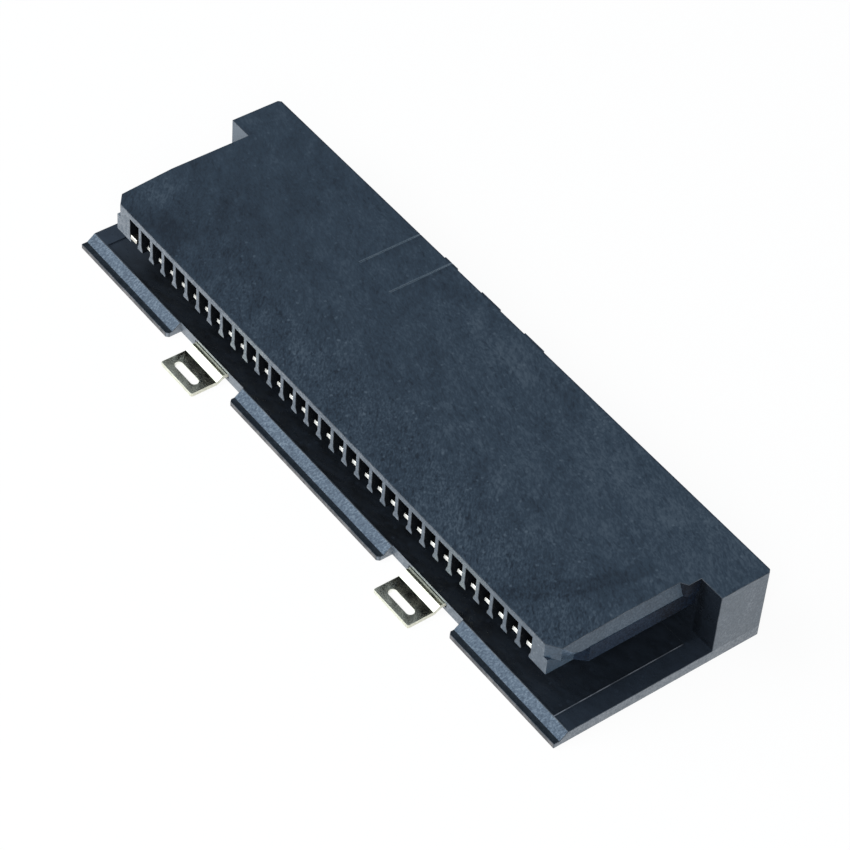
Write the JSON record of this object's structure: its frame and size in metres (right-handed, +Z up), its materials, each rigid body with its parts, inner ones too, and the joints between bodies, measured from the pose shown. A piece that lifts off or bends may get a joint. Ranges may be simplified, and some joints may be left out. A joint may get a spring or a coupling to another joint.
{
  "type": "card edge connector",
  "caption": "Long low card edge connector: dark moulded housing with a slotted tongue over a base plate, a row of spring contacts and slotted hold-down tabs for board mounting.",
  "frame": {"origin": "on the board plane, under the middle of the whole part's outline", "axes": "+X along the row of contacts to the right as seen from the mouth, +Y from the card mouth to the rear block, +Z up from the board"},
  "size_m": [0.057, 0.0218, 0.0063],
  "materials": {
    "housing_plastic": "satin, glass-filled, with flow marks",
    "contact_metal": "bright plated strip",
    "tab_metal": "plated strip"
  },
  "bodies": {
    "root": {"housing": "housing_plastic", "contact_01": "contact_metal", "contact_02": "contact_metal", "contact_03": "contact_metal", "contact_04": "contact_metal", "contact_05": "contact_metal", "contact_06": "contact_metal", "contact_07": "contact_metal", "contact_08": "contact_metal", "contact_09": "contact_metal", "contact_10": "contact_metal", "contact_11": "contact_metal", "contact_12": "contact_metal", "contact_13": "contact_metal", "contact_14": "contact_metal", "contact_15": "contact_metal", "contact_16": "contact_metal", "contact_17": "contact_metal", "contact_18": "contact_metal", "contact_19": "contact_metal", "contact_20": "contact_metal", "contact_21": "contact_metal", "contact_22": "contact_metal", "contact_23": "contact_metal", "contact_24": "contact_metal", "contact_25": "contact_metal", "contact_26": "contact_metal", "contact_27": "contact_metal", "contact_28": "contact_metal", "contact_29": "contact_metal", "contact_30": "contact_metal", "contact_31": "contact_metal", "contact_32": "contact_metal", "hold_down_tab_left": "tab_metal", "hold_down_tab_right": "tab_metal"}
  },
  "joints": []
}
